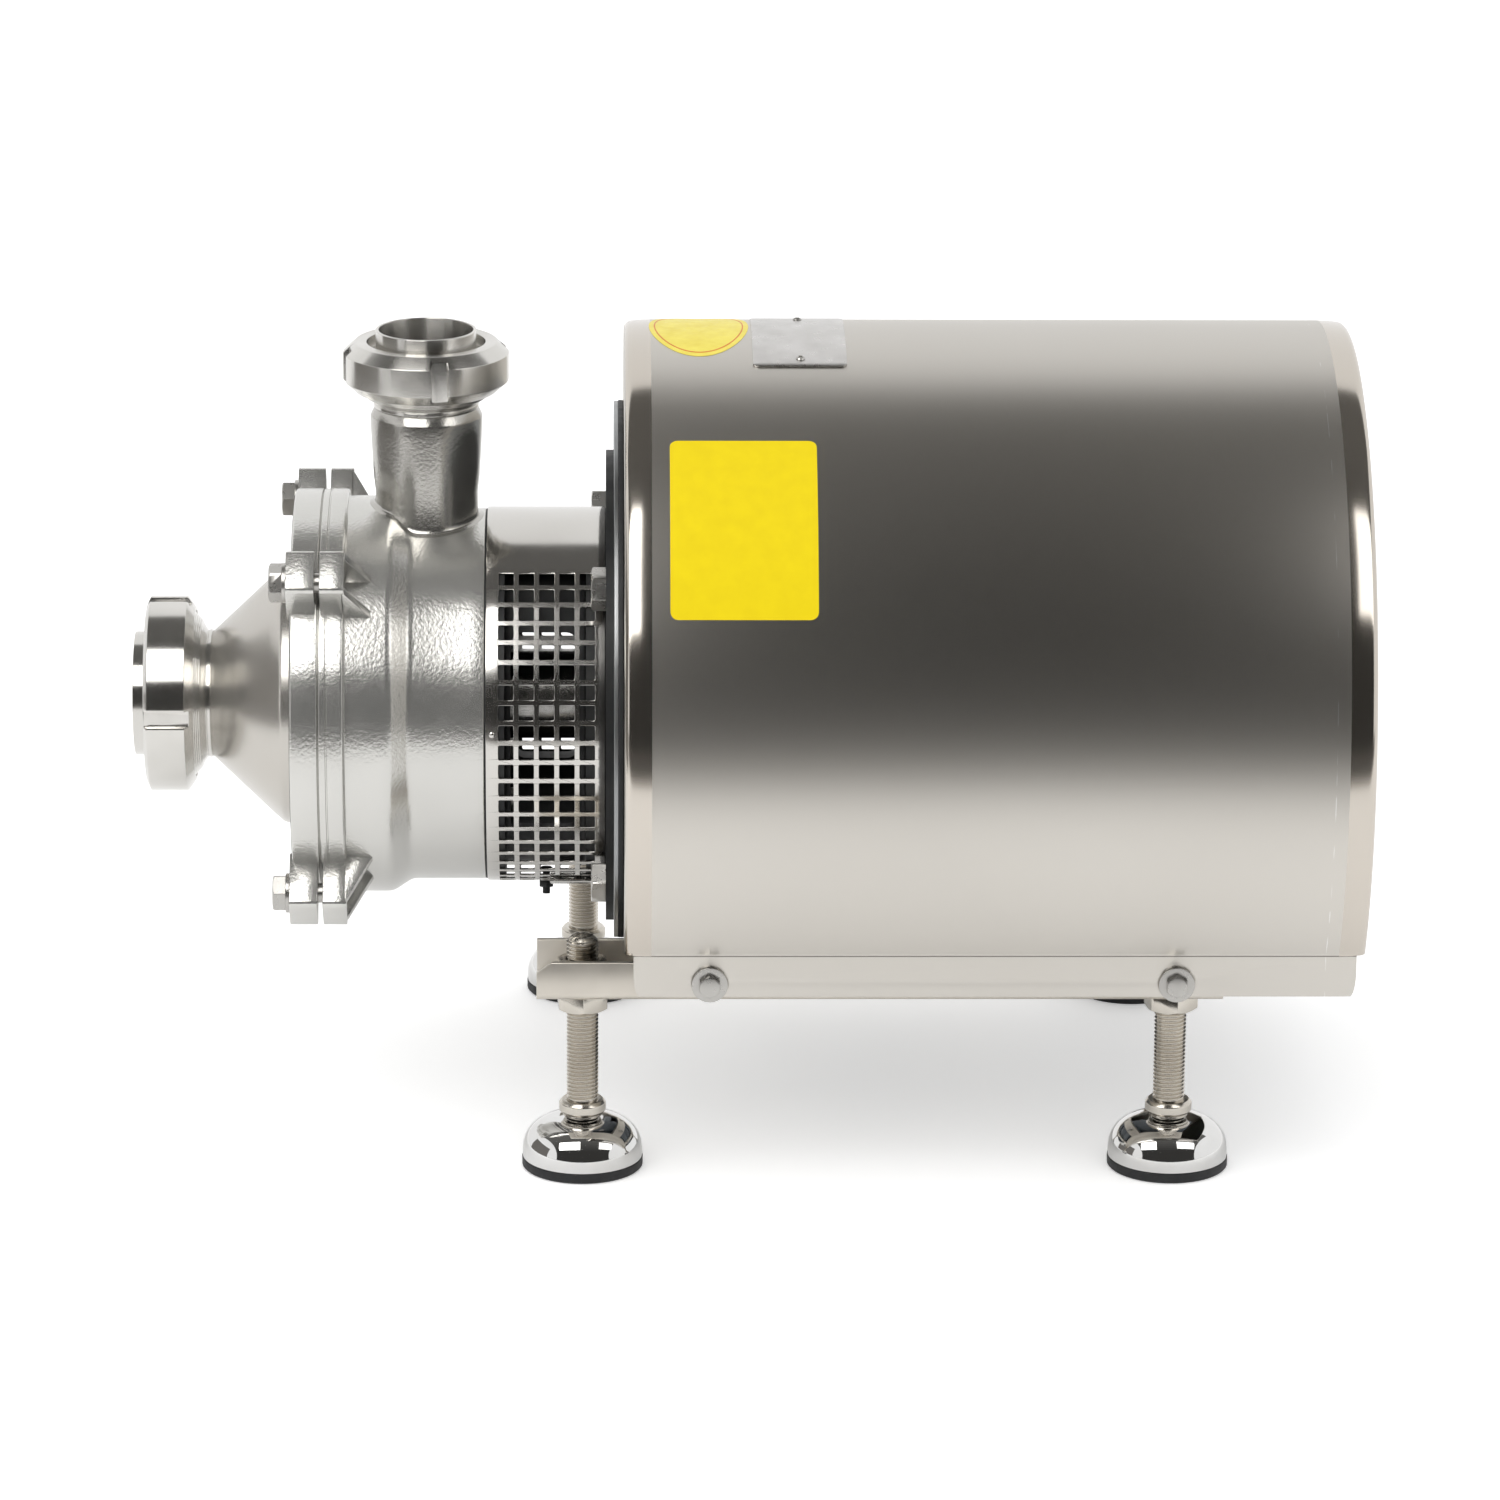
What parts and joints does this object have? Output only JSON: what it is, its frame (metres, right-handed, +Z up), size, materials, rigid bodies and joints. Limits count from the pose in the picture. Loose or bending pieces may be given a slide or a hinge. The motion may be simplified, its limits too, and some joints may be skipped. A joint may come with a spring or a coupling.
{
  "type": "self-priming pump",
  "caption": "Stainless self-priming pump with conical suction, upright outlet, mesh guard, drum shroud over its motor and levelling feet.",
  "frame": {"origin": "on the floor, under the middle of the pump's length and width", "axes": "+X along the shaft from the suction port to the motor, +Z up, -Y the side that shows in the picture"},
  "size_m": [0.6184, 0.3718, 0.3979],
  "materials": {
    "stainless_polished": "mirror turned stainless steel",
    "stainless_cast": "bead blasted and polished cast stainless steel",
    "impeller_steel": "cast stainless steel",
    "shaft_steel": "turned steel",
    "spring_steel": "drawn stainless wire",
    "silicon_carbide": "lapped ceramic",
    "gasket_rubber": "moulded rubber",
    "bolt_steel": "stainless bolts",
    "lantern_iron": "dark cast iron",
    "plate_steel": "satin sheet",
    "rim_rubber": "black rubber edging",
    "motor_paint": "grey painted aluminium",
    "lamination_steel": "varnished laminations",
    "bearing_steel": "ground bearing steel",
    "fan_plastic": "moulded plastic",
    "fan_cover_paint": "grey painted sheet",
    "rail_steel": "bead blasted stainless bar",
    "stainless_brushed": "brushed stainless sheet",
    "foot_stud_steel": "stainless threaded bar",
    "foot_chrome": "chromed pressed steel",
    "pad_rubber": "black rubber"
  },
  "bodies": {
    "pump": {"mesh_guard": "stainless_polished", "front_cover": "stainless_cast", "pump_casing": "stainless_cast", "casing_back_plate": "stainless_cast", "outlet_nozzle": "stainless_cast", "seal_stationary_ring": "silicon_carbide", "suction_gasket": "gasket_rubber", "outlet_gasket": "gasket_rubber", "cover_seal_ring": "gasket_rubber", "cover_bolts": "bolt_steel", "lantern_bolts": "bolt_steel", "flange_bolts": "bolt_steel", "motor_foot_bolts": "bolt_steel", "shroud_bolts": "bolt_steel", "lantern": "lantern_iron", "front_plate": "plate_steel", "rim_rubber": "rim_rubber", "motor_frame": "motor_paint", "motor_front_shield": "motor_paint", "motor_rear_shield": "motor_paint", "terminal_box": "motor_paint", "terminal_box_lid": "motor_paint", "stator": "lamination_steel", "bearings": "bearing_steel", "fan_cover": "fan_cover_paint", "rail_near": "rail_steel", "rail_far": "rail_steel", "cross_bar_front": "rail_steel", "cross_bar_rear": "rail_steel", "shroud": "stainless_brushed"},
    "rotor": {"impeller": "impeller_steel", "impeller_nut": "impeller_steel", "pump_shaft": "shaft_steel", "motor_shaft": "shaft_steel", "shaft_keys": "shaft_steel", "seal_rotary_ring": "silicon_carbide", "seal_spring": "spring_steel", "rotor": "lamination_steel", "fan": "fan_plastic"},
    "suction_liner": {"suction_liner": "stainless_polished"},
    "suction_nut": {"suction_union_nut": "stainless_polished"},
    "outlet_liner": {"outlet_liner": "stainless_polished"},
    "outlet_nut": {"outlet_union_nut": "stainless_polished"},
    "foot_stud_front_near": {"foot_stud_front_near": "foot_stud_steel"},
    "foot_base_front_near": {"foot_cup_front_near": "foot_chrome", "foot_pad_front_near": "pad_rubber"},
    "foot_nuts_front_near": {"foot_nuts_front_near": "foot_stud_steel"},
    "foot_stud_front_far": {"foot_stud_front_far": "foot_stud_steel"},
    "foot_base_front_far": {"foot_cup_front_far": "foot_chrome", "foot_pad_front_far": "pad_rubber"},
    "foot_nuts_front_far": {"foot_nuts_front_far": "foot_stud_steel"},
    "foot_stud_rear_near": {"foot_stud_rear_near": "foot_stud_steel"},
    "foot_base_rear_near": {"foot_cup_rear_near": "foot_chrome", "foot_pad_rear_near": "pad_rubber"},
    "foot_nuts_rear_near": {"foot_nuts_rear_near": "foot_stud_steel"},
    "foot_stud_rear_far": {"foot_stud_rear_far": "foot_stud_steel"},
    "foot_base_rear_far": {"foot_cup_rear_far": "foot_chrome", "foot_pad_rear_far": "pad_rubber"},
    "foot_nuts_rear_far": {"foot_nuts_rear_far": "foot_stud_steel"}
  },
  "joints": [
    {"name": "shaft_spin", "type": "hinge", "parent": "pump", "child": "rotor", "pos_m": [-0.11245, 0, 0.206], "axis": [1, 0, 0], "continuous": true},
    {"name": "suction_liner_slide", "type": "slide", "parent": "pump", "child": "suction_liner", "axis": [-1, 0, 0], "range_m": [0, 0.01271]},
    {"name": "suction_nut_spin", "type": "hinge", "parent": "suction_liner", "child": "suction_nut", "pos_m": [-0.29245, 0, 0.206], "axis": [-1, 0, 0], "range_deg": [0, 1080]},
    {"name": "outlet_liner_slide", "type": "slide", "parent": "pump", "child": "outlet_liner", "axis": [0, 0, 1], "range_m": [0, 0.01271]},
    {"name": "outlet_nut_spin", "type": "hinge", "parent": "outlet_liner", "child": "outlet_nut", "pos_m": [-0.15945, 0, 0.381], "axis": [0, 0, 1], "range_deg": [0, 1080]},
    {"name": "foot_height_front_near", "type": "slide", "parent": "pump", "child": "foot_stud_front_near", "axis": [0, 0, 1], "range_m": [-0.011, 0.045]},
    {"name": "foot_nuts_spin_front_near", "type": "hinge", "parent": "pump", "child": "foot_nuts_front_near", "pos_m": [-0.08015, -0.138, 0.101], "axis": [0, 0, 1], "range_deg": [-8101, 1981]},
    {"name": "foot_tilt_front_near", "type": "hinge", "parent": "foot_stud_front_near", "child": "foot_base_front_near", "pos_m": [-0.08015, -0.138, 0.0145], "axis": [0, 1, 0], "range_deg": [-6, 6]},
    {"name": "foot_height_front_far", "type": "slide", "parent": "pump", "child": "foot_stud_front_far", "axis": [0, 0, 1], "range_m": [-0.011, 0.045]},
    {"name": "foot_nuts_spin_front_far", "type": "hinge", "parent": "pump", "child": "foot_nuts_front_far", "pos_m": [-0.08015, 0.138, 0.101], "axis": [0, 0, 1], "range_deg": [-8101, 1981]},
    {"name": "foot_tilt_front_far", "type": "hinge", "parent": "foot_stud_front_far", "child": "foot_base_front_far", "pos_m": [-0.08015, 0.138, 0.0145], "axis": [0, 1, 0], "range_deg": [-6, 6]},
    {"name": "foot_height_rear_near", "type": "slide", "parent": "pump", "child": "foot_stud_rear_near", "axis": [0, 0, 1], "range_m": [-0.011, 0.045]},
    {"name": "foot_nuts_spin_rear_near", "type": "hinge", "parent": "pump", "child": "foot_nuts_rear_near", "pos_m": [0.21435, -0.138, 0.101], "axis": [0, 0, 1], "range_deg": [-8101, 1981]},
    {"name": "foot_tilt_rear_near", "type": "hinge", "parent": "foot_stud_rear_near", "child": "foot_base_rear_near", "pos_m": [0.21435, -0.138, 0.0145], "axis": [0, 1, 0], "range_deg": [-6, 6]},
    {"name": "foot_height_rear_far", "type": "slide", "parent": "pump", "child": "foot_stud_rear_far", "axis": [0, 0, 1], "range_m": [-0.011, 0.045]},
    {"name": "foot_nuts_spin_rear_far", "type": "hinge", "parent": "pump", "child": "foot_nuts_rear_far", "pos_m": [0.21435, 0.138, 0.101], "axis": [0, 0, 1], "range_deg": [-8101, 1981]},
    {"name": "foot_tilt_rear_far", "type": "hinge", "parent": "foot_stud_rear_far", "child": "foot_base_rear_far", "pos_m": [0.21435, 0.138, 0.0145], "axis": [0, 1, 0], "range_deg": [-6, 6]}
  ],
  "couplings": [
    {"joint": "suction_liner_slide", "follows": "suction_nut_spin", "m_per_rad": 0.00067376},
    {"joint": "outlet_liner_slide", "follows": "outlet_nut_spin", "m_per_rad": 0.00067376},
    {"joint": "foot_nuts_spin_front_near", "follows": "foot_height_front_near", "rad_per_m": -3141.6},
    {"joint": "foot_nuts_spin_front_far", "follows": "foot_height_front_far", "rad_per_m": -3141.6},
    {"joint": "foot_nuts_spin_rear_near", "follows": "foot_height_rear_near", "rad_per_m": -3141.6},
    {"joint": "foot_nuts_spin_rear_far", "follows": "foot_height_rear_far", "rad_per_m": -3141.6}
  ]
}
